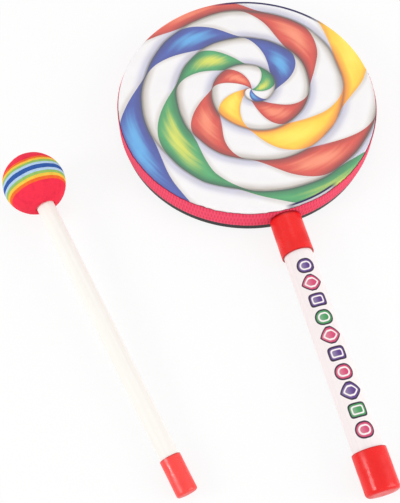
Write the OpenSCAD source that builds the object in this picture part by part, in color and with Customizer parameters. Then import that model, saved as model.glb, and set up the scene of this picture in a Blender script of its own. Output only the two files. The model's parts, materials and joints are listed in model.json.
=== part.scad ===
// Lollipop drum: a small hand drum on a straight handle, with a foam-headed mallet lying beside it.
// The origin is the centre of the hoop in the plane of its back edge.
// +Z points out of the playing face and the handle runs along -Y.

/* [Rim] */
// Outside diameter of the hoop
hoop_d = 150; // [110:1:260]
// Radial thickness of the hoop
hoop_wall = 5; // [4:0.5:9]
// Height of the hoop from its back edge to its bearing edge
hoop_h = 18.85; // [15:0.05:30]
// Rounding of the bearing edge that the film is stretched over
bearing_round = 0.8; // [0.3:0.1:1.5]
// Thickness of the drumhead film
film_t = 0.3; // [0.2:0.05:0.6]
// Height of the film's turned-down skirt
skirt_h = 6; // [3:0.5:9]
// Thickness of the ribbon wrapped round the rim
ribbon_t = 0.6; // [0.3:0.1:1.5]
// Height of the hoop left bare below the ribbon
bare_edge = 5.6; // [0.5:0.1:8]
// Height of film left showing above the ribbon
film_reveal = 0.8; // [0.4:0.1:2]
// Glue line between the hoop, the film and the ribbon
glue = 0.05; // [0.02:0.01:0.15]

/* [Handle] */
// Outside diameter of the handle tube
tube_d = 16; // [12:0.5:22]
// Wall of the handle tube
tube_wall = 1.5; // [1:0.1:2.5]
// Length of the handle tube
tube_len = 156; // [100:1:260]
// Length of the sleeve that covers the joint at the rim
collar_len = 24; // [12:1:45]
// Outside length of the end cap
cap_len = 22; // [12:1:40]
// Wall of the collar and of the end cap
sleeve_wall = 0.95; // [0.6:0.05:2]
// Thickness of the end cap's closed end
cap_end_t = 2; // [1:0.1:4]
// Rounding of the end cap's edge
cap_round = 2; // [0.5:0.1:2.5]
// Radial fit of the collar and the end cap on the tube
sleeve_fit = 0.05; // [0.02:0.01:0.2]
// Gap between the rim and the pieces cut to sit on it
rim_gap = 0.05; // [0.02:0.01:0.2]

/* [Handle fixing] */
// Length of the plug pressed into the tube
plug_len = 30; // [20:1:60]
// Radial fit of the plug in the tube
plug_fit = 0.05; // [0.02:0.01:0.2]
// Diameter of the screw over its thread
screw_d = 3.5; // [2.5:0.1:5]
// Length of the screw under its head
screw_len = 25; // [18:1:50]
// Pitch of the screw's thread
thread_pitch = 1.3; // [0.8:0.1:2]
// Depth of the screw's thread
thread_depth = 0.5; // [0.2:0.05:0.8]
// Length of the plain shank below the head
shank_len = 7; // [3:0.5:10]
// Length of the screw's point
point_len = 3; // [2:0.5:5]
// Diameter of the screw's head
screw_head_d = 7; // [6:0.1:9]
// Height of the screw's head
screw_head_h = 2.4; // [1.5:0.1:4]
// Rounding of the screw's head
screw_head_round = 1.2; // [0.3:0.1:1.4]
// Length across the screw's cross recess
recess_len = 4; // [2:0.1:5]
// Width of each slot of the cross recess
recess_w = 0.9; // [0.5:0.1:1.2]
// Depth of the cross recess
recess_depth = 1.3; // [0.5:0.1:1.4]
// Radial fit of the screw in the hoop
screw_fit = 0.25; // [0.1:0.05:0.5]
// Radial fit of the screw in the plug
pilot_fit = 0.05; // [0.02:0.01:0.2]
// Outside diameter of the washer under the screw's head
washer_d = 9; // [7:0.5:12]
// Thickness of the washer
washer_t = 0.8; // [0.4:0.1:2]
// Depth of the flat seat cut into the inside of the hoop
seat_depth = 0.3; // [0.2:0.05:1]
// Room round the washer on its seat
seat_room = 0.5; // [0.2:0.1:1.5]

/* [Mallet] */
// Diameter of the foam ball
ball_d = 35; // [28:0.5:50]
// Thickness of the middle foam layer
core_t = 2.7; // [1.5:0.1:4]
// Thickness of each foam layer beside it
stripe_t = 1.6; // [0.8:0.1:2.2]
// Outside diameter of the stick
stick_d = 10; // [7:0.5:14]
// Wall of the stick
stick_wall = 1.5; // [1:0.1:2.5]
// Length of the stick
stick_len = 200; // [140:1:300]
// How deep the stick reaches into the ball
stick_depth = 28; // [12:0.5:32]
// Outside length of the stick's end cap
tip_len = 20; // [10:1:40]
// Wall of the stick's end cap
tip_wall = 0.55; // [0.4:0.05:1.5]
// Thickness of the closed end of the stick's cap
tip_end_t = 1.5; // [1:0.1:3]
// Rounding of the edge of the stick's cap
tip_round = 1.2; // [0.4:0.1:1.6]
// Radial fit of the stick in the ball and in its cap
stick_fit = 0.05; // [0.02:0.01:0.2]

/* [Layout] */
// Clear floor between the rim and the ball
mallet_gap = 37.2; // [10:0.1:80]
// How far the ball lies towards the end of the handle
ball_back = 21.5; // [0:0.5:60]
// Angle of the mallet to the handle
mallet_turn = 11.9; // [0:0.1:20]

/* [Hidden] */
$fn = 96;
// Overshoot of the cutting shapes
cut = 1;

// Foam layers from the far side of the ball to the side where the stick enters
LAYERS = [
    "ball_red_tip", "ball_orange_front", "ball_yellow_front", "ball_green_front", "ball_sky_front",
    "ball_blue_core",
    "ball_sky_back", "ball_green_back", "ball_yellow_back", "ball_orange_back", "ball_red_base",
];

// Colours
black = [0.10, 0.09, 0.09];
film_cream = [0.97, 0.93, 0.90];
ribbon_pink = [0.98, 0.35, 0.44];
vinyl_red = [0.96, 0.23, 0.22];
tube_white = [0.98, 0.95, 0.95];
stick_white = [0.99, 0.98, 0.96];
beech = [0.80, 0.64, 0.44];
steel = [0.72, 0.72, 0.73];
foam_red = [0.98, 0.22, 0.32];
foam_orange = [0.96, 0.50, 0.24];
foam_yellow = [0.95, 0.83, 0.38];
foam_green = [0.62, 0.79, 0.50];
foam_sky = [0.71, 0.82, 0.91];
foam_blue = [0.22, 0.39, 0.66];
half_colours = [foam_red, foam_orange, foam_yellow, foam_green, foam_sky];
last_colour = len(half_colours) - 1;
layer_colours = concat(half_colours, [foam_blue], [for (i = [last_colour:-1:0]) half_colours[i]]);

// Rim: the film and the ribbon lie one over the other against the hoop, above its bare edge
hoop_r = hoop_d / 2;
bore_r = hoop_r - hoop_wall;
film_r = hoop_r + glue + film_t;
ribbon_r = film_r + glue;
rim_r = ribbon_r + ribbon_t;
head_z = hoop_h + glue + film_t;
ribbon_top = head_z - film_reveal;

// Handle, as distances from the drum's axis: it lies level with the hoop's back edge
sleeve_r = tube_d / 2 + sleeve_fit + sleeve_wall;
handle_z = sleeve_r;
handle_start = rim_r + rim_gap;
handle_blank = sqrt(pow(handle_start, 2) - pow(sleeve_r, 2)) - cut;
tube_end = handle_start + tube_len;
cap_end = tube_end + cap_end_t;

// Screw and washer, as distances from the drum's axis
screw_r = screw_d / 2;
washer_seat = bore_r + seat_depth;
washer_face = washer_seat - washer_t;

// Mallet: the ball and the edge of the stick's cap both touch the floor
ball_r = ball_d / 2;
stick_start = ball_r - stick_depth;
tip_r = stick_d / 2 + stick_fit + tip_wall;
tip_end = stick_start + stick_len + tip_end_t;
tip_arm = [tip_end - tip_round, tip_r - tip_round];
mallet_tilt = asin((ball_r - tip_round) / norm(tip_arm)) - atan2(tip_arm[1], tip_arm[0]);
ball_x = -(rim_r + mallet_gap + ball_r);
ball_y = -ball_back;
stripe_edges = [for (k = [0:last_colour]) core_t / 2 + k * stripe_t];
layer_edges = concat(
    [-ball_r - cut],
    [for (k = [last_colour:-1:0]) -stripe_edges[k]],
    stripe_edges,
    [ball_r + cut]
);

// Half profile of a solid of revolution with a rounded outer edge at its top
module rounded_profile(r, h, edge_round) {
    square([r, h - edge_round]);
    square([r - edge_round, h]);
    translate([r - edge_round, h - edge_round]) circle(edge_round);
}

// A cup of vinyl, open at z = 0 and closed at its far end
module vinyl_cup(r_in, wall, length, end_t, edge_round)
    rotate_extrude()
        difference() {
            rounded_profile(r_in + wall, length, edge_round);
            translate([0, -cut]) square([r_in, length - end_t + cut]);
        }

// Lays a shape's own +Z along the handle's axis, from the drum's axis outwards
module along_handle()
    translate([0, 0, handle_z]) rotate([90, 0, 0]) children();

// Lays a shape's own +Z along the stick's axis, from the ball's centre to the end cap
module along_stick()
    translate([ball_x, ball_y, ball_r])
        rotate([0, 0, mallet_turn])
            rotate([90 + mallet_tilt, 0, 0])
                children();

// The round face that the handle's pieces are cut to
module rim_face()
    translate([0, 0, -cut]) cylinder(r = handle_start, h = 2 * sleeve_r + 2 * cut);

// A pipe along the handle, cut to the rim at one end and square at the other
module rim_pipe(r_out, r_in, reach)
    difference() {
        along_handle()
            difference() {
                translate([0, 0, handle_blank]) cylinder(r = r_out, h = reach - handle_blank);
                translate([0, 0, handle_blank - cut])
                    cylinder(r = r_in, h = reach - handle_blank + 2 * cut);
            }
        rim_face();
    }

// The hole for the screw, through one side of the rim
module screw_hole()
    along_handle() cylinder(r = screw_r + screw_fit, h = rim_r + cut);

// Moulded hoop with the screw's hole and the flat seat for its washer
module hoop()
    color(black)
        difference() {
            rotate_extrude()
                difference() {
                    rounded_profile(hoop_r, hoop_h, bearing_round);
                    translate([0, -cut]) square([bore_r, hoop_h + 2 * cut]);
                }
            screw_hole();
            along_handle()
                translate([0, 0, washer_seat - hoop_wall])
                    cylinder(r = washer_d / 2 + seat_room, h = hoop_wall);
        }

// Film stretched over the bearing edge and turned down outside the hoop
module drumhead()
    color(film_cream)
        difference() {
            rotate_extrude()
                difference() {
                    rounded_profile(film_r, head_z, bearing_round + glue + film_t);
                    rounded_profile(hoop_r + glue, hoop_h + glue, bearing_round + glue);
                    translate([0, -cut]) square([film_r + cut, head_z - skirt_h + cut]);
                }
            screw_hole();
        }

// Ribbon that covers the film's skirt
module rim_ribbon()
    color(ribbon_pink)
        difference() {
            rotate_extrude()
                translate([ribbon_r, bare_edge]) square([ribbon_t, ribbon_top - bare_edge]);
            screw_hole();
        }

// Handle tube
module handle_tube()
    color(tube_white) rim_pipe(tube_d / 2, tube_d / 2 - tube_wall, tube_end);

// Vinyl sleeve over the tube's end at the rim
module handle_collar()
    color(vinyl_red) rim_pipe(sleeve_r, tube_d / 2 + sleeve_fit, handle_start + collar_len);

// Vinyl cap over the tube's free end
module handle_end_cap()
    color(vinyl_red)
        along_handle()
            translate([0, 0, cap_end - cap_len])
                vinyl_cup(tube_d / 2 + sleeve_fit, sleeve_wall, cap_len, cap_end_t, cap_round);

// Plug inside the tube that takes the screw
module handle_plug()
    color(beech)
        rim_pipe(tube_d / 2 - tube_wall - plug_fit, screw_r + pilot_fit, handle_start + plug_len);

// Pan-head screw, driven from inside the hoop
module handle_screw() {
    root_r = screw_r - thread_depth;
    turns = floor((screw_len - shank_len - point_len) / thread_pitch);
    thread = [
        for (k = [0:turns - 1], side = [0, 1])
            [side == 0 ? root_r : screw_r, shank_len + (k + (side + 1) / 2) * thread_pitch],
    ];
    color(steel)
        along_handle()
            translate([0, 0, washer_face])
                difference() {
                    union() {
                        rotate_extrude()
                            polygon(concat(
                                [[0, -screw_head_h / 2], [screw_r, -screw_head_h / 2], [screw_r, shank_len]],
                                thread,
                                [[root_r, screw_len - point_len], [0, screw_len]]
                            ));
                        mirror([0, 0, 1])
                            rotate_extrude()
                                rounded_profile(screw_head_d / 2, screw_head_h, screw_head_round);
                    }
                    for (turn = [0, 90])
                        rotate([0, 0, turn])
                            translate([-recess_len / 2, -recess_w / 2, -screw_head_h - cut])
                                cube([recess_len, recess_w, recess_depth + cut]);
                }
}

// Washer between the screw's head and the hoop
module screw_washer()
    color(steel)
        along_handle()
            translate([0, 0, washer_face])
                difference() {
                    cylinder(d = washer_d, h = washer_t);
                    translate([0, 0, -cut]) cylinder(r = screw_r + screw_fit, h = washer_t + 2 * cut);
                }

// One foam layer of the ball, bored for the stick
module ball_layer(i)
    color(layer_colours[i])
        along_stick()
            difference() {
                intersection() {
                    sphere(ball_r);
                    translate([0, 0, layer_edges[i]])
                        cylinder(r = ball_r + cut, h = layer_edges[i + 1] - layer_edges[i]);
                }
                translate([0, 0, stick_start]) cylinder(r = stick_d / 2 + stick_fit, h = ball_d);
            }

// Stick of the mallet
module mallet_stick()
    color(stick_white)
        along_stick()
            translate([0, 0, stick_start])
                difference() {
                    cylinder(d = stick_d, h = stick_len);
                    translate([0, 0, -cut])
                        cylinder(r = stick_d / 2 - stick_wall, h = stick_len + 2 * cut);
                }

// Vinyl cap over the stick's free end
module mallet_end_cap()
    color(vinyl_red)
        along_stick()
            translate([0, 0, tip_end - tip_len])
                vinyl_cup(stick_d / 2 + stick_fit, tip_wall, tip_len, tip_end_t, tip_round);

hoop();
drumhead();
rim_ribbon();
handle_tube();
handle_collar();
handle_end_cap();
handle_plug();
handle_screw();
screw_washer();
for (i = [0:len(LAYERS) - 1])
    ball_layer(i);
mallet_stick();
mallet_end_cap();
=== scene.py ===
import json
import math

import bmesh
import bpy
import numpy as np
from mathutils import Matrix, Vector


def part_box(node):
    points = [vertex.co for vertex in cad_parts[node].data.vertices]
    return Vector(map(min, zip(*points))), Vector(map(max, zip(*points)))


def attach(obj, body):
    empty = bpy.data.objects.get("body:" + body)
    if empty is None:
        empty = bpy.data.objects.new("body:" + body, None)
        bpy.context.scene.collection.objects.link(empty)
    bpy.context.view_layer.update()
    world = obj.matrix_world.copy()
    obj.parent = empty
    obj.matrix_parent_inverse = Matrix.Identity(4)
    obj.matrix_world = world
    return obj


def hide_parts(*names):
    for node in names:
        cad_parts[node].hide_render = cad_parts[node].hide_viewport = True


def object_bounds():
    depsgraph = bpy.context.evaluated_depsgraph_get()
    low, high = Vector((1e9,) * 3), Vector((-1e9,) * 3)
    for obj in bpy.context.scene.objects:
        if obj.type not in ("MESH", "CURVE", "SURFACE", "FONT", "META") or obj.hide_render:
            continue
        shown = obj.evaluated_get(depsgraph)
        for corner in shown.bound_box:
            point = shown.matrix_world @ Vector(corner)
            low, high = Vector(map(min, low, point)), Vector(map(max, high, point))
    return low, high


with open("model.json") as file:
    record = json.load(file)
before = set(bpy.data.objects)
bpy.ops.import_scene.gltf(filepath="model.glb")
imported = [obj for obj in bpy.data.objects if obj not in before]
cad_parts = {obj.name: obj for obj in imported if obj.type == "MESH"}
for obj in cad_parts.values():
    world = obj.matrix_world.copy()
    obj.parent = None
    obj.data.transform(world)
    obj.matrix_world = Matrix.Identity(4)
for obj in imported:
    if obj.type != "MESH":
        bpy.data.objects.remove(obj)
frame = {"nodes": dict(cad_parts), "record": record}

cadLow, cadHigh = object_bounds()
tau = 2 * math.pi
mm = 0.001
print("frame loaded:", len(frame["nodes"]), "nodes")


# Places and sizes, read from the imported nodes

def nodePoints(node):
    mesh = frame["nodes"][node].data
    flat = np.empty(len(mesh.vertices) * 3, np.float32)
    mesh.vertices.foreach_get("co", flat)
    return flat.reshape(-1, 3).astype(float)


def placeAlong(origin, direction):
    # local z runs along the direction, and local y is as upright as it can be
    along = Vector(direction).normalized()
    side = Vector((0, 0, 1)).cross(along).normalized()
    up = along.cross(side)
    place = Matrix((side, up, along)).transposed().to_4x4()
    place.translation = origin
    return place


def spanAbout(node, place):
    # how far a node reaches from a place's local z axis, and from where to where along it
    inverse = np.array(place.inverted())
    local = nodePoints(node) @ inverse[:3, :3].T + inverse[:3, 3]
    radius = np.hypot(local[:, 0], local[:, 1])
    return {
        "inner": radius.min(),
        "outer": radius.max(),
        "start": local[:, 2].min(),
        "end": local[:, 2].max(),
    }


mounts = {mount["name"]: mount for mount in frame["record"]["mounts"]}
drumPlace = Matrix.Identity(4)
handleAxisHeight = mounts["handle_end"]["pos_m"][2]
handlePlace = placeAlong((0, 0, handleAxisHeight), mounts["handle_end"]["axis"])
coreLow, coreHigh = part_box("ball_blue_core")
malletPlace = placeAlong((coreLow + coreHigh) / 2, mounts["mallet_end"]["axis"])


# Profiles: lists of (radius, along) points that are turned about an axis

def roundCorners(corners, steps=5):
    # each corner is (radius, along) or, to have it rounded, (radius, along, rounding)
    profile = []
    for k, corner in enumerate(corners):
        point = Vector(corner[:2])
        if len(corner) == 2:
            profile.append(tuple(point))
            continue
        rounding = corner[2]
        back = (Vector(corners[k - 1][:2]) - point).normalized()
        onward = (Vector(corners[(k + 1) % len(corners)][:2]) - point).normalized()
        halfAngle = back.angle(onward) / 2
        centre = point + (back + onward).normalized() * (rounding / math.sin(halfAngle))
        fromSide = (point + back * (rounding / math.tan(halfAngle)) - centre).normalized()
        toSide = (point + onward * (rounding / math.tan(halfAngle)) - centre).normalized()
        for step in range(steps + 1):
            profile.append(tuple(centre + fromSide.slerp(toSide, step / steps) * rounding))
    return profile


def pipeProfile(inner, outer, start, end, rounding, steps):
    corners = [(inner, start), (outer, start), (outer, end), (inner, end)]
    return roundCorners([(*corner, rounding) for corner in corners], steps)


def fillIn(profile, longest, closed=True):
    # adds points so that no stretch of a profile is longer than this
    filled = []
    ends = profile[1:] + profile[:1] if closed else profile[1:]
    for start, end in zip(profile, ends):
        pieces = max(1, math.ceil(math.dist(start, end) / longest))
        for k in range(pieces):
            share = k / pieces
            filled.append(tuple(near + share * (far - near) for near, far in zip(start, end)))
    return filled if closed else filled + [profile[-1]]


def turnProfile(profile, place, sides, bend=None):
    # a profile that starts and ends on the axis is open, any other is a closed ring
    radius = np.array([point[0] for point in profile])[:, None]
    along = np.array([point[1] for point in profile])[:, None]
    angle = np.arange(sides)[None, :] * tau / sides
    radius, along, angle = np.broadcast_arrays(radius, along, angle)
    if bend:
        radius, along = bend(radius, along, angle)
    local = np.stack((radius * np.cos(angle), radius * np.sin(angle), along), axis=-1)
    matrix = np.array(place)
    world = local @ matrix[:3, :3].T + matrix[:3, 3]
    onAxis = [point[0] < 1e-9 for point in profile]
    points = []
    rings = []
    for k, ring in enumerate(world):
        first = len(points)
        points.extend(ring[:1] if onAxis[k] else ring)
        rings.append([first] * sides if onAxis[k] else list(range(first, first + sides)))
    faces = []
    strips = []
    following = rings[1:] if onAxis[0] else rings[1:] + rings[:1]
    for strip, (near, far) in enumerate(zip(rings, following)):
        for k in range(sides):
            after = (k + 1) % sides
            corners = (near[k], near[after], far[after], far[k])
            faces.append(tuple(dict.fromkeys(corners)))
            strips.append(strip)
    return points, faces, strips


def addPiece(name, shape, finishes, body, node, finishOf=None, sharpest=40):
    points, faces, strips = shape
    mesh = bpy.data.meshes.new(name)
    mesh.from_pydata([tuple(point) for point in points], [], faces)
    for finish in finishes:
        mesh.materials.append(finish)
    if finishOf:
        mesh.polygons.foreach_set("material_index", [finishOf(strip) for strip in strips])
    shell = bmesh.new()
    shell.from_mesh(mesh)
    bmesh.ops.recalc_face_normals(shell, faces=shell.faces)
    shell.to_mesh(mesh)
    shell.free()
    mesh.shade_smooth()
    mesh.set_sharp_from_angle(angle=math.radians(sharpest))
    piece = bpy.data.objects.new(name, mesh)
    bpy.context.scene.collection.objects.link(piece)
    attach(piece, body)
    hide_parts(node)
    return piece


# Finishes: a number inside a node tree can be used in plain arithmetic

class Number:
    def __init__(self, tree, socket):
        self.tree = tree
        self.socket = socket

    def apply(self, operation, *others):
        node = self.tree.nodes.new("ShaderNodeMath")
        node.operation = operation
        for socket, value in zip(node.inputs, (self, *others)):
            plug(self.tree, socket, value)
        return Number(self.tree, node.outputs[0])

    def __add__(self, other):
        return self.apply("ADD", other)

    def __sub__(self, other):
        return self.apply("SUBTRACT", other)

    def __mul__(self, other):
        return self.apply("MULTIPLY", other)

    def __truediv__(self, other):
        return self.apply("DIVIDE", other)

    def __pow__(self, other):
        return self.apply("POWER", other)

    def within(self, low, high):
        # eases from 0 at low to 1 at high, where low may be the larger of the two
        node = self.tree.nodes.new("ShaderNodeMapRange")
        node.interpolation_type = "SMOOTHSTEP"
        plug(self.tree, node.inputs["Value"], self)
        plug(self.tree, node.inputs["From Min"], low)
        plug(self.tree, node.inputs["From Max"], high)
        return Number(self.tree, node.outputs["Result"])


def plug(tree, socket, value):
    if isinstance(value, Number):
        value = value.socket
    if isinstance(value, bpy.types.NodeSocket):
        tree.links.new(value, socket)
    else:
        socket.default_value = value


def newFinish(name, **sockets):
    # sockets are the shader's own, with their names run together
    material = bpy.data.materials.new(name)
    material.use_nodes = True
    tree = material.node_tree
    shader = tree.nodes["Principled BSDF"]
    byName = {socket.name.replace(" ", "").lower(): socket for socket in shader.inputs}
    for key, value in sockets.items():
        byName[key.lower()].default_value = value
    return material, tree, shader


def ink(code):
    # a colour written as rrggbb, as the linear value that sockets take
    parts = [int(code[k:k + 2], 16) / 255 for k in (0, 2, 4)]
    linear = [part / 12.92 if part <= 0.04045 else ((part + 0.055) / 1.055) ** 2.4 for part in parts]
    return (*linear, 1.0)


def axesOf(tree):
    # the part's own x, y and z, in metres
    coordinates = tree.nodes.new("ShaderNodeTexCoord")
    split = tree.nodes.new("ShaderNodeSeparateXYZ")
    tree.links.new(coordinates.outputs["Object"], split.inputs[0])
    return [Number(tree, socket) for socket in split.outputs]


def fromAxis(x, y):
    return (x * x + y * y).apply("SQRT")


def alongWay(axes, way):
    x, y, z = axes
    return x * way.x + y * way.y + z * way.z


def joinAxes(tree, x, y, z):
    node = tree.nodes.new("ShaderNodeCombineXYZ")
    for socket, value in zip(node.inputs, (x, y, z)):
        plug(tree, socket, value)
    return node.outputs[0]


def grainOf(tree, size, detail, at=None):
    # soft noise from 0 to 1 with features of about this size
    node = tree.nodes.new("ShaderNodeTexNoise")
    node.inputs["Scale"].default_value = 1 / size
    node.inputs["Detail"].default_value = detail
    if at is None:
        at = tree.nodes.new("ShaderNodeTexCoord").outputs["Object"]
    tree.links.new(at, node.inputs["Vector"])
    return Number(tree, node.outputs["Fac"])


def drawnGrain(tree, grain, across, along, upward, detail):
    # noise drawn out along a piece; grain is its features per metre, across and along
    fine, long = grain
    return grainOf(tree, 1.0, detail, joinAxes(tree, across * fine, along * long, upward * fine))


def mixInk(tree, share, first, second, mode="MIX"):
    # among a mix node's sockets, inputs 6 and 7 and output 2 are the ones for colours
    node = tree.nodes.new("ShaderNodeMix")
    node.data_type = "RGBA"
    node.blend_type = mode
    plug(tree, node.inputs[0], share)
    plug(tree, node.inputs[6], first)
    plug(tree, node.inputs[7], second)
    return node.outputs[2]


def pickInk(tree, share, colours):
    # share from 0 to 1 steps through the colours
    node = tree.nodes.new("ShaderNodeValToRGB")
    node.color_ramp.interpolation = "CONSTANT"
    stops = node.color_ramp.elements
    while len(stops) < len(colours):
        stops.new(1.0)
    for k, colour in enumerate(colours):
        stops[k].position = k / len(colours)
        stops[k].color = colour
    plug(tree, node.inputs[0], share)
    return node.outputs["Color"]


def greyInk(tree, level):
    node = tree.nodes.new("ShaderNodeCombineColor")
    for socket in node.inputs[:3]:
        plug(tree, socket, level)
    return node.outputs[0]


def bumpBy(tree, shader, height, depth, strength=1.0):
    node = tree.nodes.new("ShaderNodeBump")
    node.inputs["Strength"].default_value = strength
    node.inputs["Distance"].default_value = depth
    plug(tree, node.inputs["Height"], height)
    tree.links.new(node.outputs["Normal"], shader.inputs["Normal"])


# Camera, light and floor

cameraSetup = {
    "place": (-0.10775, -0.2977, 0.45232),
    "heading": 14.76,  # degrees to the right of +Y
    "pitch": 63.43,  # degrees below the horizon
    "roll": -0.59,
    "lens": 64.54,
    "sensor": 36.0,  # millimetres along the picture's long side
    "clipStart": 10 * mm,
}

lightSetup = {
    "sky": 0.66,  # strength of the white surroundings that light the part
    "aim": (-0.03, -0.08, 0.0),
    "lamps": {
        "keyLamp": {"place": (-1.0, -0.15, 0.6), "size": 0.42, "power": 4.2},
        "fillLamp": {"place": (0.95, -0.55, 0.6), "size": 1.0, "power": 7.0},
        "backLamp": {"place": (0.1, 0.75, 1.15), "size": 0.7, "power": 1.0},
    },
}

floorSetup = {
    "size": 12.0,
    "drop": 0.2 * mm,  # below the part's lowest point
    "colour": ink("f6f5f5"),
    "glow": 0.85,  # share of plain white that eyes and mirrors see in place of the lit floor
    "fade": (0.35, 0.9),  # from the drum outwards, over which the glow takes over
}


def addCamera(setup):
    camera = bpy.data.cameras.new("photoCamera")
    camera.sensor_width = setup["sensor"]
    camera.lens = setup["lens"]
    camera.clip_start = setup["clipStart"]
    holder = bpy.data.objects.new("photoCamera", camera)
    bpy.context.scene.collection.objects.link(holder)
    turn = Matrix.Rotation(math.radians(-setup["heading"]), 4, "Z")
    tilt = Matrix.Rotation(math.radians(90 - setup["pitch"]), 4, "X")
    roll = Matrix.Rotation(math.radians(setup["roll"]), 4, "Z")
    holder.matrix_world = Matrix.Translation(setup["place"]) @ turn @ tilt @ roll
    bpy.context.scene.camera = holder


def addLamps(setup):
    for name, lamp in setup["lamps"].items():
        light = bpy.data.lights.new(name, "AREA")
        light.shape = "DISK"
        light.size = lamp["size"]
        light.energy = lamp["power"]
        holder = bpy.data.objects.new(name, light)
        bpy.context.scene.collection.objects.link(holder)
        holder.location = lamp["place"]
        aim = Vector(setup["aim"]) - Vector(lamp["place"])
        holder.rotation_euler = aim.to_track_quat("-Z", "Y").to_euler()


def seenRays(tree):
    # 1 for rays from the camera, and for those that a mirror or glass passes on
    rays = tree.nodes.new("ShaderNodeLightPath")
    seen = Number(tree, rays.outputs["Is Camera Ray"])
    for kind in ("Is Glossy Ray", "Is Transmission Ray"):
        seen = seen.apply("MAXIMUM", Number(tree, rays.outputs[kind]))
    return seen


def addSky(setup):
    world = bpy.data.worlds.new("studioSky")
    world.use_nodes = True
    bpy.context.scene.world = world
    tree = world.node_tree
    background = tree.nodes["Background"]
    background.inputs["Color"].default_value = (1, 1, 1, 1)
    level = seenRays(tree) * (1 - setup["sky"]) + setup["sky"]
    plug(tree, background.inputs["Strength"], level)


def addFloor(setup):
    bpy.ops.mesh.primitive_plane_add(size=setup["size"])
    floor = bpy.context.object
    floor.name = "studioFloor"
    floor.location.z = cadLow.z - setup["drop"]
    material = bpy.data.materials.new("floorPaper")
    material.use_nodes = True
    tree = material.node_tree
    tree.nodes.clear()
    paper = tree.nodes.new("ShaderNodeBsdfDiffuse")
    paper.inputs["Color"].default_value = setup["colour"]
    glow = tree.nodes.new("ShaderNodeEmission")
    mix = tree.nodes.new("ShaderNodeMixShader")
    output = tree.nodes.new("ShaderNodeOutputMaterial")
    x, y = axesOf(tree)[:2]
    outwards = fromAxis(x, y).within(*setup["fade"])
    plug(tree, mix.inputs[0], seenRays(tree) * (outwards * (1 - setup["glow"]) + setup["glow"]))
    tree.links.new(paper.outputs[0], mix.inputs[1])
    tree.links.new(glow.outputs[0], mix.inputs[2])
    tree.links.new(mix.outputs[0], output.inputs["Surface"])
    floor.data.materials.append(material)


bpy.context.scene.view_settings.view_transform = "Standard"
addCamera(cameraSetup)
addLamps(lightSetup)
addSky(lightSetup)
addFloor(floorSetup)
print("studio ready")


# Hoop: black moulded ring with the screw's hole and the washer's seat cut into it

hoopMake = {
    "backRound": 0.3 * mm,
    "boreRound": 0.4 * mm,
    "bearingRound": 0.8 * mm,
    "ringStep": 4 * mm,  # longest stretch of its profile
    "sides": 256,
    "seatGap": 0.5 * mm,  # room round the washer in its seat
    "overrun": 5 * mm,  # how far a drill goes past the wall
    "holeSides": 48,
    "colour": ink("1c1a1a"),
    "worn": ink("3a3736"),
}
hoopSpan = spanAbout("hoop", drumPlace)
washerSpan = spanAbout("screw_washer", handlePlace)


def moulded(make):
    material, tree, shader = newFinish("mouldedBlack", specularIorLevel=0.25)
    cloud = grainOf(tree, 9 * mm, 4)
    colour = mixInk(tree, cloud.within(0.45, 0.8) * 0.5, make["colour"], make["worn"])
    plug(tree, shader.inputs["Base Color"], colour)
    plug(tree, shader.inputs["Roughness"], cloud * 0.2 + 0.36)
    bumpBy(tree, shader, grainOf(tree, 0.35 * mm, 3), 0.05 * mm)
    return material


def screwHole(inner, outer):
    # a bore through a ring of these radii, as wide as the washer's hole
    return washerSpan["inner"], inner - hoopMake["overrun"], outer + hoopMake["overrun"]


def cutRound(piece, bores, sharpest):
    # bores run along the handle's axis, each given as (radius, start, end)
    for radius, start, end in bores:
        drill = bmesh.new()
        bmesh.ops.create_cone(
            drill, cap_ends=True, segments=hoopMake["holeSides"],
            radius1=radius, radius2=radius, depth=end - start,
            matrix=handlePlace @ Matrix.Translation((0, 0, (start + end) / 2)))
        mesh = bpy.data.meshes.new("drill")
        drill.to_mesh(mesh)
        drill.free()
        cutter = bpy.data.objects.new("drill", mesh)
        bpy.context.scene.collection.objects.link(cutter)
        boolean = piece.modifiers.new("bore", "BOOLEAN")
        boolean.operation = "DIFFERENCE"
        boolean.solver = "MANIFOLD"
        boolean.object = cutter
        bpy.context.view_layer.objects.active = piece
        bpy.ops.object.modifier_apply(modifier=boolean.name)
        bpy.data.objects.remove(cutter)
        bpy.data.meshes.remove(mesh)
    piece.data.set_sharp_from_angle(angle=math.radians(sharpest))


def addHoop(make):
    inner, outer, top = hoopSpan["inner"], hoopSpan["outer"], hoopSpan["end"]
    profile = roundCorners([
        (inner, 0.0, make["boreRound"]),
        (outer, 0.0, make["backRound"]),
        (outer, top, make["bearingRound"]),
        (inner, top, make["boreRound"]),
    ])
    shape = turnProfile(fillIn(profile, make["ringStep"]), drumPlace, make["sides"])
    hoop = addPiece("hoop_ring", shape, [moulded(make)], "drum", "hoop")
    seat = (washerSpan["outer"] + make["seatGap"], inner - make["overrun"], washerSpan["end"])
    cutRound(hoop, [seat, screwHole(inner, outer)], sharpest=30)


addHoop(hoopMake)
print("hoop made")


# Drumhead: film with a painted candy swirl, pulled over the hoop's bearing edge

filmMake = {
    "thickness": 0.3 * mm,
    "shoulder": 0.8 * mm,  # rounding where the film turns down
    "sides": 288,
    "ringStep": 1.6 * mm,
    "tautRipple": 0.027 * mm,  # small enough to stay clear of the hoop
    "calmEdge": 3 * mm,  # the ripples fade out over this, up to the outside
    "milky": ink("e6dfd8"),
}

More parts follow.
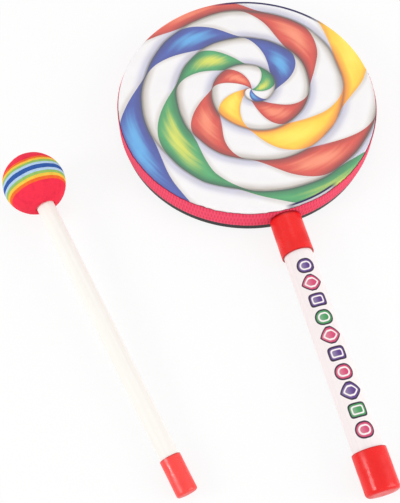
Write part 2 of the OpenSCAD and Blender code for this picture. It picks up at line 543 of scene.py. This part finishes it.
swirlPaint = {
    "centre": (5 * mm, 7 * mm),
    "pitch": 20.5 * mm,  # width of the candy rope
    "start": 0.30,  # where the rope's tail begins, in turns from +X
    "stripesPerTurn": 8.2,
    "calmTurns": 0.45,  # over about this many turns from the tail the stripes are longer
    "twist": 1.15,  # stripes that a border slants across the rope
    "handWobble": 1.6 * mm,
    "uneven": 1.1,  # how far the stripes' lengths stray
    "shift": 1.7,  # stripes left out at the tail
    "stripes": ["red", "white", "blue", "white", "green", "white", "red", "white", "yellow", "white"],
    "body": {"red": "dc4635", "white": "f4f1f1", "green": "46a664", "blue": "3e54aa", "yellow": "ffd22a"},
    "shade": {"red": "8e2a2a", "white": "b8ada2", "green": "1f6a48", "blue": "363c86", "yellow": "f08024"},
    "glow": {"red": "fd906c", "white": "f4f1f2", "green": "e2e455", "blue": "5db0ea", "yellow": "ffea50"},
    "veil": 0.08,  # how far the clear film pales the print
    "line": ink("39423f"),
    "lilac": ink("c6c8ea"),
    "borderInk": ink("2f2a58"),
    "borderArcs": [(62, 24, 1.8 * mm), (-77, 11, 1.9 * mm)],  # middle and half span in degrees, width
    "bareEdge": ink("c9c8cc"),
    "bareArc": (-77, 10, 0.75 * mm),
}


def swirlPainting(tree, paint):
    # a twisted rope of striped candy, coiled flat: turn is the coil, across and length are on the rope
    drumX, drumY = axesOf(tree)[:2]
    wobble = grainOf(tree, 26 * mm, 1)
    sway = grainOf(tree, 31 * mm, 1)
    x = (drumX - paint["centre"][0] + (wobble - 0.5) * (2 * paint["handWobble"])) / paint["pitch"]
    y = (drumY - paint["centre"][1] + (sway - 0.5) * (2 * paint["handWobble"])) / paint["pitch"]
    radius = fromAxis(x, y)
    heading = (y.apply("ARCTAN2", x) / tau + (1 - paint["start"])).apply("FRACT")
    coil = radius - heading
    turn = coil.apply("FLOOR")
    tail = turn.apply("LESS_THAN", -0.5)
    width = (tail * (heading - 1) + 1).apply("MAXIMUM", 0.03)
    across = ((coil - turn - 1 + width) / width).apply("MINIMUM", 1.0).apply("MAXIMUM", 0.0)
    length = heading + turn + 1
    calm = paint["calmTurns"]
    count = ((length * length + calm * calm).apply("SQRT") - calm) * paint["stripesPerTurn"]
    roll = (across * -2 + 1).apply("ARCCOSINE") / math.pi
    stray = grainOf(tree, 1.0, 0, joinAxes(tree, length * 2.3, 0.0, 0.0)) - 0.5
    phase = count - roll * paint["twist"] + stray * paint["uneven"] + paint["shift"]
    stripe = (phase / len(paint["stripes"])).apply("FRACT")
    inStripe = phase.apply("FRACT")
    # brush streaks run along the rope
    streak = grainOf(tree, 1.0, 3, joinAxes(tree, length * 3, across * 9, 0.0))
    blotch = grainOf(tree, 11 * mm, 3)
    layers = {}
    for layer in ("body", "shade", "glow"):
        inks = [ink(paint[layer][name]) for name in paint["stripes"]]
        layers[layer] = pickInk(tree, stripe, inks)
    fromMiddle = (across - 0.5).apply("ABSOLUTE") * 2
    fromBorder = (inStripe - 0.5).apply("ABSOLUTE") * 2
    rim = fromMiddle.within(0.42, 1.05) * (streak * 0.8 + 0.55)
    border = fromBorder.within(0.72, 1.0) * 0.45
    shine = (fromMiddle * fromMiddle + fromBorder * fromBorder * 0.85).apply("SQRT")
    shine = (shine + (streak - 0.5) * 0.7).within(0.8, 0.1)
    colour = mixInk(tree, rim.apply("MAXIMUM", border), layers["body"], layers["shade"])
    colour = mixInk(tree, shine * 0.9, colour, layers["glow"])
    # every other stripe is white, with lilac shade along one side
    white = (stripe * len(paint["stripes"])).apply("FLOOR").apply("MODULO", 2.0)
    shaded = across.within(0.36, 0.0) * white * (blotch * 0.9 + 0.2)
    colour = mixInk(tree, shaded, colour, paint["lilac"])
    # the drawn line between the rope's turns thins out and pales as the brush lifts
    edge = (across - 0.5).apply("ABSOLUTE") * -1 + 0.5
    press = (streak * 0.6 + blotch).within(0.35, 0.95)
    line = edge.within(press * 0.05 + 0.04, 0.0) * (press * 0.75 + 0.22)
    colour = mixInk(tree, line, colour, mixInk(tree, 0.65, layers["shade"], paint["line"]))
    return mixInk(tree, 0.35, colour, greyInk(tree, blotch), "SOFT_LIGHT")


def edgeArc(tree, outer, middle, half, width):
    # 1 along a stretch of the film's edge, in from the edge by a width
    x, y = axesOf(tree)[:2]
    radius = fromAxis(x, y)
    aim, reach = math.radians(middle), math.radians(half)
    facing = (x * math.cos(aim) + y * math.sin(aim)) / radius
    stretch = facing.within(math.cos(reach * 1.25), math.cos(reach * 0.75))
    return stretch * radius.within(outer - 1.2 * width, outer - 0.8 * width)


def printedFilm(paint, outer):
    material, tree, shader = newFinish("printedFilm", specularIorLevel=0.22)
    colour = mixInk(tree, paint["veil"], swirlPainting(tree, paint), ink("ffffff"))
    for arc in paint["borderArcs"]:
        colour = mixInk(tree, edgeArc(tree, outer, *arc), colour, paint["borderInk"])
    colour = mixInk(tree, edgeArc(tree, outer, *paint["bareArc"]), colour, paint["bareEdge"])
    plug(tree, shader.inputs["Base Color"], colour)
    haze = grainOf(tree, 14 * mm, 3)
    plug(tree, shader.inputs["Roughness"], haze * 0.16 + 0.42)
    bumpBy(tree, shader, grainOf(tree, 0.5 * mm, 2), 0.01 * mm)
    return material


def filmBack(make, paint):
    # the print shows through the milky back of the film
    material, tree, shader = newFinish("filmBack", specularIorLevel=0.45)
    painting = swirlPainting(tree, paint)
    cloud = grainOf(tree, 8 * mm, 4)
    colour = mixInk(tree, cloud * 0.16 + 0.72, painting, make["milky"])
    plug(tree, shader.inputs["Base Color"], colour)
    plug(tree, shader.inputs["Roughness"], cloud * 0.2 + 0.4)
    return material


def addFilm(make, paint):
    span = spanAbout("drumhead", drumPlace)
    outer, top, bottom = span["outer"], span["end"], span["start"]
    inner, under = outer - make["thickness"], top - make["thickness"]
    turn = make["shoulder"]
    outside = roundCorners([(0, top), (outer, top, turn), (outer, bottom)], 8)
    inside = roundCorners([(inner, bottom), (inner, under, turn - make["thickness"]), (0, under)], 8)
    outside = fillIn(outside, make["ringStep"], False)
    inside = fillIn(inside, make["ringStep"], False)

    def pulledTight(radius, along, angle):
        # faint radial ripples where the film is pulled over the edge
        near = np.clip((radius / outer - 0.8) / 0.17, 0, 1)
        near = near * np.clip((outer - radius) / make["calmEdge"], 0, 1)
        ripple = np.sin(37 * angle) + 0.6 * np.sin(23 * angle + 1.3) + 0.5 * np.sin(61 * angle + 0.4)
        return radius, along - make["tautRipple"] * near * (1.5 + ripple) / 2

    shape = turnProfile(outside + inside, drumPlace, make["sides"], pulledTight)
    finishes = [printedFilm(paint, outer), filmBack(make, paint)]
    return addPiece("film_head", shape, finishes, "drum", "drumhead",
                    finishOf=lambda strip: 0 if strip < len(outside) else 1, sharpest=60)


film = addFilm(filmMake, swirlPaint)
print("film stretched")


# Ribbon: ribbed woven tape glued round the rim by hand, so its upper edge wanders

ribbonMake = {
    "ribs": 258,
    "sidesPerRib": 6,
    "ribHeight": 0.06 * mm,
    "rowPitch": 4.3 * mm,
    "edgeRound": 0.15 * mm,
    "ringStep": 1.3 * mm,
    "bumps": 41,  # half the number of bulges along the upper edge
    "edgeWander": 0.5 * mm,
    "backDrop": 1.6 * mm,  # how much lower its upper edge is on the side away from the handle
    "hemWander": 0.07 * mm,
    "leanIn": 0.3 * mm,  # how far the outside leans in at the top
    "leanFrom": 0.8 * mm,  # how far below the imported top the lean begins
    "leanOver": 1.0 * mm,
    "body": ink("ff4c6c"),
    "groove": ink("d0204e"),
    # painted shadow: a dark red on the tape's top face and upper inside, where the film's edge shades it
    "selvedge": ink("6a0a24"),
    "selvedgeIn": (0.05 * mm, 0.4 * mm),  # in from the outside, where its colour begins and is full
    "selvedgeDown": (1.5 * mm, 0.6 * mm),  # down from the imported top, likewise
    "fuzz": ink("f08aa2"),
    "fuzzHeight": 1.2 * mm,
}


def wovenTape(make, span):
    material, tree, shader = newFinish(
        "wovenTape", specularIorLevel=0.2, sheenWeight=0.8, sheenRoughness=0.5, sheenTint=ink("ff7f96"))
    x, y, z = axesOf(tree)
    row = (z - span["start"]) / make["rowPitch"]
    stagger = row.apply("FLOOR") * 0.5
    ribs = (y.apply("ARCTAN2", x) * (make["ribs"] / tau) + stagger).apply("FRACT")
    rows = row.apply("FRACT")
    ribCrest = (ribs - 0.5).apply("ABSOLUTE").within(0.1, 0.34)
    rowCrest = (rows - 0.5).apply("ABSOLUTE").within(0.26, 0.44)
    fibre = grainOf(tree, 0.4 * mm, 3)
    fade = grainOf(tree, 18 * mm, 2)
    thread = ribCrest.apply("MAXIMUM", rowCrest)
    colour = mixInk(tree, thread * 0.6 + fibre * 0.4 + 0.1, make["groove"], make["body"])
    colour = mixInk(tree, fade * 0.1, colour, make["groove"])
    hem = z.within(span["start"] + make["fuzzHeight"], span["start"]) * fibre
    colour = mixInk(tree, hem * 0.8, colour, make["fuzz"])
    # painted shadow: the tape's top face and upper inside turn dark red, as if shaded by the film's edge
    inwards = fromAxis(x, y).within(*(span["outer"] - depth for depth in make["selvedgeIn"]))
    upper = z.within(*(span["end"] - depth for depth in make["selvedgeDown"]))
    colour = mixInk(tree, inwards * upper * 0.9, colour, make["selvedge"])
    plug(tree, shader.inputs["Base Color"], colour)
    plug(tree, shader.inputs["Roughness"], fibre * 0.2 + 0.6)
    bumpBy(tree, shader, thread + fibre * 0.3, 0.09 * mm, 0.6)
    return material


def addRibbon(make):
    span = spanAbout("rim_ribbon", drumPlace)
    inner, outer, bottom, top = span["inner"], span["outer"], span["start"], span["end"]
    profile = pipeProfile(inner, outer, bottom, top, make["edgeRound"], 2)
    profile = fillIn(profile, make["ringStep"])

    def wrapped(radius, along, angle):
        height = (along - bottom) / (top - bottom)
        outside = (radius - inner) / (outer - inner)
        rib = make["ribHeight"] * np.cos(make["ribs"] * angle) * outside
        stray = 1.6 * np.sin(5 * angle) + 1.2 * np.sin(13 * angle + 1.0) + 0.8 * np.sin(29 * angle)
        bulge = np.abs(np.sin(make["bumps"] * angle + stray)) * (0.8 + 0.4 * np.sin(11 * angle + 0.5))
        wander = 1.3 * bulge - 1 + 0.4 * np.sin(23 * angle + 2.1)
        slump = make["backDrop"] * np.clip(0.2 + 2 * np.sin(angle + 0.26), 0, 1)
        hem = 0.4 * np.sin(29 * angle + 1.0) + 0.3 * np.sin(71 * angle)
        along = along + height ** 4 * (make["edgeWander"] * wander - slump)
        along = along + (1 - height) ** 4 * make["hemWander"] * hem
        raised = np.clip((along - (top - make["leanFrom"])) / make["leanOver"], 0, 1)
        return radius + rib - make["leanIn"] * raised ** 2 * outside, along

    shape = turnProfile(profile, drumPlace, make["sidesPerRib"] * make["ribs"], wrapped)
    tape = wovenTape(make, span)
    ribbon = addPiece("ribbon_wrap", shape, [tape], "drum", "rim_ribbon")
    cutRound(ribbon, [screwHole(inner, outer)], sharpest=40)
    middle = (inner + outer) / 2
    top - bottom
    tau * middle


addRibbon(ribbonMake)
print("ribbon wrapped")


# Handle: white tube with a row of printed marks, red vinyl sleeve and end cap

tubeMake = {
    "edgeRound": 0.3 * mm,
    "ringStep": 6 * mm,
    "sides": 128,
    "colour": ink("f7efee"),
    "cool": ink("ede3e3"),
    "grain": (900, 25),  # features per metre, across and along
}

printedMarks = {
    "first": 105 * mm,  # from the drum's axis
    "cell": 10.3 * mm,
    "count": 10,
    "shapes": [  # dot, diamond and square: bluntness, half length, added half width
        (2.0, 4.4 * mm, 0.6 * mm),
        (1.2, 4.9 * mm, 1.0 * mm),
        (4.0, 3.9 * mm, 0.9 * mm),
    ],
    "largest": (10, 10 * mm, 10 * mm),  # upper limits of those three values
    "ring": (0.5, 0.1),  # white ring in each mark: where and half how wide, as shares of its size
    "inks": ["5c3a86", "d0446f", "5c3a86", "3f9455", "d0446f"],
    "shine": ink("ffffff"),
    "outline": ink("281830"),
    "line": 0.8 * mm,
    "soft": 0.1 * mm,  # half the width over which an edge fades
}

vinylMake = {
    "colour": ink("f01c1a"),
    "deep": ink("dc1513"),
    "pale": ink("f5443d"),
    "gloss": 0.36,
    # painted shade: a dark red that the vinyl takes near the drum's rim, where the sleeve meets the ribbon
    "crease": ink("8c0a12"),
    "creaseFade": (2.6 * mm, 0.6 * mm),  # from the rim, where its colour begins and is full
    # painted shade: a darker red along the cut end of each vinyl skin
    "cutEdge": ink("a51216"),
    "cutFade": (0.7 * mm, 0.2 * mm),  # from the cut, likewise
    "lip": 0.25 * mm,
    "sides": 128,
    "waver": 0.04 * mm,  # how far the dipped skin strays from round
}

collarMake = dict(
    vinylMake,
    rimTaper=(0.75 * mm, 2.4 * mm),  # how its end draws in at the rim: depth and length
    taperSteps=8,
    ringStep=2 * mm,
    phase=0.7,  # of its waver
)

capMake = dict(
    vinylMake,
    crown=0.09,  # how far its end bulges, as a share of its radius
    endThickness=2 * mm,
    edgeRound=2 * mm,
    ringStep=1.5 * mm,
    phase=2.0,
)

sleeveFit = 0.05 * mm  # between a sleeve and what it is pushed onto

tubeSpan = spanAbout("handle_tube", handlePlace)
collarSpan = spanAbout("handle_collar", handlePlace)
capSpan = spanAbout("handle_end_cap", handlePlace)
rimFace = spanAbout("handle_tube", drumPlace)["inner"]  # from the drum's axis to the handle's near end


def markedTube(make, marks):
    material, tree, shader = newFinish("tubeWhite", specularIorLevel=0.4)
    x, y, z = axesOf(tree)
    drawn = drawnGrain(tree, make["grain"], x, y, z, 3)
    cloud = grainOf(tree, 20 * mm, 2)
    share = drawn.within(0.35, 0.75) * 0.35 + cloud * 0.25
    plain = mixInk(tree, share, make["colour"], make["cool"])
    sideways = x.apply("ARCTAN2", z - handleAxisHeight) * tubeSpan["outer"]
    cells = (y * -1 - marks["first"]) / marks["cell"]
    number = cells.apply("FLOOR")
    lengthways = (cells - number - 0.5) * marks["cell"]
    # a ramp's colours carry the shapes' values, as shares of their upper limits
    largest = marks["largest"]
    kinds = [(*(value / most for value, most in zip(shape, largest)), 1) for shape in marks["shapes"]]
    kind = ((number + 0.5) / len(kinds)).apply("FRACT")
    sizes = tree.nodes.new("ShaderNodeSeparateColor")
    tree.links.new(pickInk(tree, kind, kinds), sizes.inputs[0])
    blunt, size, added = (Number(tree, socket) * most for socket, most in zip(sizes.outputs, largest))
    past = (sideways.apply("ABSOLUTE") - added).apply("MAXIMUM", 0.0)
    reach = (past / size) ** blunt + (lengthways / size).apply("ABSOLUTE") ** blunt
    reach = reach ** (blunt ** -1.0)
    depth = (reach * -1 + 1) * size
    fromRing = ((reach - marks["ring"][0]).apply("ABSOLUTE") - marks["ring"][1]) * size
    inRow = cells.apply("GREATER_THAN", 0.0) * cells.apply("LESS_THAN", float(marks["count"]))
    soft, line = marks["soft"], marks["line"]
    inside = depth.within(-soft, soft) * fromRing.within(-soft, soft) * inRow
    filled = depth.within(0.8 * line, 1.2 * line)
    shade = ((number + 0.5) / len(marks["inks"])).apply("FRACT")
    colour = pickInk(tree, shade, [ink(code) for code in marks["inks"]])
    gleam = depth.within(line, 2.5 * line) * (sideways / size * -0.5 + 0.5).within(0.3, 0.9) * 0.2
    colour = mixInk(tree, gleam, colour, marks["shine"])
    colour = mixInk(tree, filled, marks["outline"], colour)
    plug(tree, shader.inputs["Base Color"], mixInk(tree, inside, plain, colour))
    plug(tree, shader.inputs["Roughness"], cloud * 0.14 + 0.42)
    bumpBy(tree, shader, drawn, 0.01 * mm)
    return material


def dippedVinyl(name, make, place, cutAt):
    # cutAt is where along its place's axis the skin was cut off
    material, tree, shader = newFinish(name, specularIorLevel=make["gloss"])
    x, y, z = axesOf(tree)
    axis = place.to_3x3().col[2]
    along = alongWay((x, y, z), axis) - place.translation.dot(axis)
    cloud = grainOf(tree, 10 * mm, 3)
    speck = grainOf(tree, 1.6 * mm, 2)
    colour = mixInk(tree, cloud.within(0.4, 0.75) * 0.55, make["colour"], make["deep"])
    colour = mixInk(tree, speck.within(0.6, 0.85) * 0.25, colour, make["pale"])
    fromRim = fromAxis(x, y) - rimFace
    # painted shade: the vinyl darkens towards the drum's rim, where the sleeve meets the ribbon
    colour = mixInk(tree, fromRim.within(*make["creaseFade"]) * 0.85, colour, make["crease"])
    # painted shade: a darker band along the cut end of the skin
    fromCut = (along - cutAt).apply("ABSOLUTE")
    colour = mixInk(tree, fromCut.within(*make["cutFade"]) * 0.7, colour, make["cutEdge"])
    plug(tree, shader.inputs["Base Color"], colour)
    plug(tree, shader.inputs["Roughness"], cloud.within(0.35, 0.65) * 0.24 + 0.2)
    peel = grainOf(tree, 0.9 * mm, 2)
    swell = grainOf(tree, 6 * mm, 1)
    bumpBy(tree, shader, peel * 0.03 + swell * 0.3, 1.0 * mm)
    return material


def wavered(make):
    # soft unevenness of a dipped skin
    phase = make["phase"]

    def bend(radius, along, angle):
        drift = np.sin(2 * angle + phase) + 0.6 * np.sin(3 * angle - 90 * along + 2 * phase)
        drift = drift + 0.5 * np.sin(5 * angle + 240 * along)
        return radius + make["waver"] * drift / 2, along

    return bend


def cutToRim(end, bend=None):
    # moves a piece's near end onto the round of the rim, and leaves its far end square
    def saddle(radius, along, angle):
        if bend:
            radius, along = bend(radius, along, angle)
        across = radius * np.cos(angle)
        near = np.sqrt(rimFace ** 2 - across ** 2)
        return radius, near + (along - rimFace) * (end - near) / (end - rimFace)

    return saddle


def addTube(make, marks):
    end = tubeSpan["end"]
    profile = pipeProfile(tubeSpan["inner"], tubeSpan["outer"], rimFace, end, make["edgeRound"], 3)
    shape = turnProfile(fillIn(profile, make["ringStep"]), handlePlace, make["sides"], cutToRim(end))
    addPiece("tube_body", shape, [markedTube(make, marks)], "drum", "handle_tube")


def addCollar(make):
    inner, outer, end = collarSpan["inner"], collarSpan["outer"], collarSpan["end"]
    corner = make["lip"]
    depth, length = make["rimTaper"]
    profile = roundCorners([(outer, end, corner), (inner, end, corner), (inner, rimFace)])
    steps = make["taperSteps"]
    for step in range(steps + 1):
        swing = step / steps * tau / 4
        drawnIn = depth * (1 - math.sin(swing))
        profile.append((outer - drawnIn, rimFace + length * (1 - math.cos(swing))))
    bend = cutToRim(end, wavered(make))
    shape = turnProfile(fillIn(profile, make["ringStep"]), handlePlace, make["sides"], bend)
    vinyl = dippedVinyl("collarVinyl", make, handlePlace, end)
    addPiece("collar_sleeve", shape, [vinyl], "drum", "handle_collar")


def addCap(name, make, span, inner, place, body, node):
    outer, start, end = span["outer"], span["start"], span["end"]
    boreEnd = end - make["endThickness"]
    corner = make["lip"]
    crown = make["crown"] * outer
    domed = [(share * outer, end - crown * share * share) for share in (0, 0.25, 0.5, 0.75)]
    profile = roundCorners(domed + [
        (outer, end - crown, make["edgeRound"]),
        (outer, start, corner),
        (inner, start, corner),
        (inner, boreEnd, corner),
        (0, boreEnd),
    ], 6)
    shape = turnProfile(fillIn(profile, make["ringStep"], False), place, make["sides"], wavered(make))
    vinyl = dippedVinyl(name + "_vinyl", make, place, start)
    addPiece(name, shape, [vinyl], body, node)


capBore = tubeSpan["outer"] + sleeveFit
addTube(tubeMake, printedMarks)
addCollar(collarMake)
addCap("end_cap_shell", capMake, capSpan, capBore, handlePlace, "drum", "handle_end_cap")
print("handle made")


# Handle fixing: turned plug, zinc-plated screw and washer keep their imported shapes

plugMake = {
    "pale": ink("d8b483"),
    "dark": ink("a97a48"),
    "ring": 1.6 * mm,
    "heart": 30 * mm,  # depth of the rings' middle below the drum's back
    "grain": (2600, 120),
}

steelMake = {
    "bright": ink("cfd0d2"),
    "dull": ink("a9abb0"),
}


def turnedBeech(make):
    material, tree, shader = newFinish("turnedBeech", specularIorLevel=0.3)
    x, y, z = axesOf(tree)
    bent = grainOf(tree, 9 * mm, 2)
    rings = (fromAxis(x, z + make["heart"]) / make["ring"] + bent * 2).apply("FRACT")
    fibre = drawnGrain(tree, make["grain"], x, y, z, 4)
    share = (rings - 0.5).apply("ABSOLUTE") + fibre * 0.6
    colour = mixInk(tree, share.within(0.2, 1.0), make["pale"], make["dark"])
    plug(tree, shader.inputs["Base Color"], colour)
    plug(tree, shader.inputs["Roughness"], fibre * 0.2 + 0.55)
    bumpBy(tree, shader, fibre, 0.04 * mm)
    return material


def zincPlate(make):
    material, tree, shader = newFinish("zincPlate", metallic=1.0)
    bloom = grainOf(tree, 1.5 * mm, 4)
    brushed = grainOf(tree, 0.25 * mm, 2)
    colour = mixInk(tree, bloom.within(0.35, 0.7), make["bright"], make["dull"])
    plug(tree, shader.inputs["Base Color"], colour)
    plug(tree, shader.inputs["Roughness"], bloom * 0.22 + 0.2)
    bumpBy(tree, shader, brushed, 0.01 * mm)
    return material


def refinish(node, material):
    mesh = frame["nodes"][node].data
    mesh.materials.clear()
    mesh.materials.append(material)


zinc = zincPlate(steelMake)
refinish("handle_plug", turnedBeech(plugMake))
refinish("handle_screw", zinc)
refinish("screw_washer", zinc)
print("handle fixing finished")


# Mallet: ball laminated from foam sheets and ground round, stick and cap

ballMake = {
    "sides": 144,
    "grooveDepth": 0.13 * mm,
    "grooveWidth": 0.22 * mm,
    "borderWander": 0.16 * mm,
    "lump": 0.06 * mm,
    "mouthRound": 0.9 * mm,  # where the stick goes in
    "mouthDepth": 1.1 * mm,
    "rowStep": 0.25 * mm,
    "fewestRows": 6,
    "ringStep": 3 * mm,
    "askew": 0.045,  # radians that the layers lie out of square to the stick
    "calmBore": 4 * mm,  # lumps and tilt grow to full over this, from the bore outwards
    "calmPole": 2 * mm,  # lumps and wander fade out over this, towards the ball's two ends
    "pore": 0.45 * mm,
}

foamInks = {
    "red": ("f7334d", "d42340"),
    "orange": ("f4702f", "da5a22"),
    "yellow": ("f3c84a", "dcae3a"),
    "green": ("97c065", "7ea655"),
    "sky": ("b5d0ea", "97b6d6"),
    "blue": ("335ca6", "294b8e"),
}

stickMake = {
    "edgeRound": 0.3 * mm,
    "ringStep": 8 * mm,
    "sides": 96,
    "colour": ink("f8f5ef"),
    "cool": ink("eee9e2"),
    "grain": (700, 12),
}

tipMake = dict(
    capMake,
    colour=ink("f83a34"),
    deep=ink("e62a26"),
    pale=ink("fa6158"),
    gloss=0.7,
    endThickness=1.5 * mm,
    edgeRound=1.2 * mm,
    phase=4.1,
)

layerNames = [node for node in frame["nodes"] if node.startswith("ball_")]
layerSpans = {node: spanAbout(node, malletPlace) for node in layerNames}
layerNames.sort(key=lambda node: layerSpans[node]["start"])
ballRadius = -layerSpans[layerNames[0]]["start"]
stickSpan = spanAbout("mallet_stick", malletPlace)
tipSpan = spanAbout("mallet_end_cap", malletPlace)
stickBore = stickSpan["outer"] + sleeveFit  # of what is pushed onto the stick
layerEdges = [layerSpans[node]["end"] for node in layerNames[:-1]]


def foamSheet(name, inks):
    material, tree, shader = newFinish("foam_" + name, specularIorLevel=0.15)
    pores = tree.nodes.new("ShaderNodeTexVoronoi")
    pores.inputs["Scale"].default_value = 1 / ballMake["pore"]
    tree.links.new(tree.nodes.new("ShaderNodeTexCoord").outputs["Object"], pores.inputs["Vector"])
    cell = Number(tree, pores.outputs["Distance"])
    cloud = grainOf(tree, 3.5 * mm, 3)
    share = cell.within(0.45, 0.05) * 0.45 + cloud.within(0.45, 0.75) * 0.4
    plug(tree, shader.inputs["Base Color"], mixInk(tree, share, ink(inks[0]), ink(inks[1])))
    plug(tree, shader.inputs["Roughness"], cloud * 0.15 + 0.72)
    bumpBy(tree, shader, cell + cloud * 0.5, 0.06 * mm, 0.7)
    return material


def ballSurface(along):
    # the ball's radius at a place along the stick, with a groove at each border
    radius = math.sqrt(max(ballRadius ** 2 - along ** 2, 0.0))
    for edge in layerEdges:
        away = (along - edge) / ballMake["grooveWidth"]
        radius -= ballMake["grooveDepth"] * math.exp(-away ** 2)
    return max(radius, 0.0)


def fromBore(radius):
    return np.clip((radius - stickBore) / ballMake["calmBore"], 0, 1)


def groundRound(radius, along, angle):
    # every layer takes the same wander, so that neighbours keep meeting
    reach = radius / ballRadius
    wander = np.sin(3 * angle + 420 * along) + 0.7 * np.sin(7 * angle - 260 * along + 1.1)
    wander = wander + 0.4 * np.sin(17 * angle)
    inBall = np.clip((ballRadius - np.abs(along)) / ballMake["calmPole"], 0, 1)
    lump = np.sin(4 * angle + 300 * along) + 0.8 * np.sin(9 * angle - 510 * along)
    swell = ballMake["lump"] * lump * inBall * fromBore(radius)
    radius = radius + swell / 2
    along = along + ballMake["borderWander"] * wander * inBall * reach / 2
    grown = fromBore(radius)
    askew = ballMake["askew"] * np.cos(angle) * grown ** 2 * (3 - 2 * grown)
    return radius - askew * along, along + askew * radius


def addBallLayer(node, finish):
    span = layerSpans[node]
    start, end = span["start"], span["end"]
    isTip = node == layerNames[0]
    isBase = node == layerNames[-1]
    if isBase:
        end = math.sqrt(ballRadius ** 2 - (stickBore + ballMake["mouthRound"]) ** 2)
    rows = max(ballMake["fewestRows"], round((end - start) / ballMake["rowStep"]))
    outside = []
    for row in range(rows + 1):
        share = row / rows
        if isTip:
            share = 1 - (1 - share) ** 2
            angle = math.pi * (1 - share) + math.acos(end / ballRadius) * share
            along = ballRadius * math.cos(angle)
        else:
            along = start + (end - start) * share
        outside.append((ballSurface(along), along))
    if isTip:
        profile = [(0.0, -ballRadius)] + outside[1:]
        profile += [(stickBore, end), (stickBore, stickSpan["start"]), (0.0, stickSpan["start"])]
    elif isBase:
        mouth = [(stickBore + 0.5 * ballMake["mouthRound"], end - 0.25 * ballMake["mouthDepth"])]
        mouth.append((stickBore, end - ballMake["mouthDepth"]))
        profile = [(stickBore, start)] + outside + mouth
    else:
        profile = [(stickBore, start)] + outside + [(stickBore, end)]
    profile = fillIn(profile, ballMake["ringStep"], not isTip)
    shape = turnProfile(profile, malletPlace, ballMake["sides"], groundRound)
    layer = addPiece(node.replace("ball", "foam"), shape, [finish], "mallet", node, sharpest=55)


def drawnStick(make):
    material, tree, shader = newFinish("stickWhite", specularIorLevel=0.35)
    axes = axesOf(tree)
    across, upward, along = (alongWay(axes, way) for way in malletPlace.to_3x3().col)
    drawn = drawnGrain(tree, make["grain"], across, along, upward, 3)
    cloud = grainOf(tree, 16 * mm, 2)
    share = drawn.within(0.35, 0.75) * 0.35 + cloud * 0.25
    plug(tree, shader.inputs["Base Color"], mixInk(tree, share, make["colour"], make["cool"]))
    plug(tree, shader.inputs["Roughness"], cloud * 0.15 + 0.48)
    bumpBy(tree, shader, drawn, 0.004 * mm)
    return material


def addStick(make):
    inner, outer, start, end = (stickSpan[key] for key in ("inner", "outer", "start", "end"))
    profile = pipeProfile(inner, outer, start, end, make["edgeRound"], 3)
    shape = turnProfile(fillIn(profile, make["ringStep"]), malletPlace, make["sides"])
    addPiece("stick_body", shape, [drawnStick(make)], "mallet", "mallet_stick")


foams = {name: foamSheet(name, inks) for name, inks in foamInks.items()}
for node in layerNames:
    colourName = node.split("_")[1]
    addBallLayer(node, foams[colourName])
addStick(stickMake)
addCap("stick_cap_shell", tipMake, tipSpan, stickBore, malletPlace, "mallet", "mallet_end_cap")
print("mallet made")
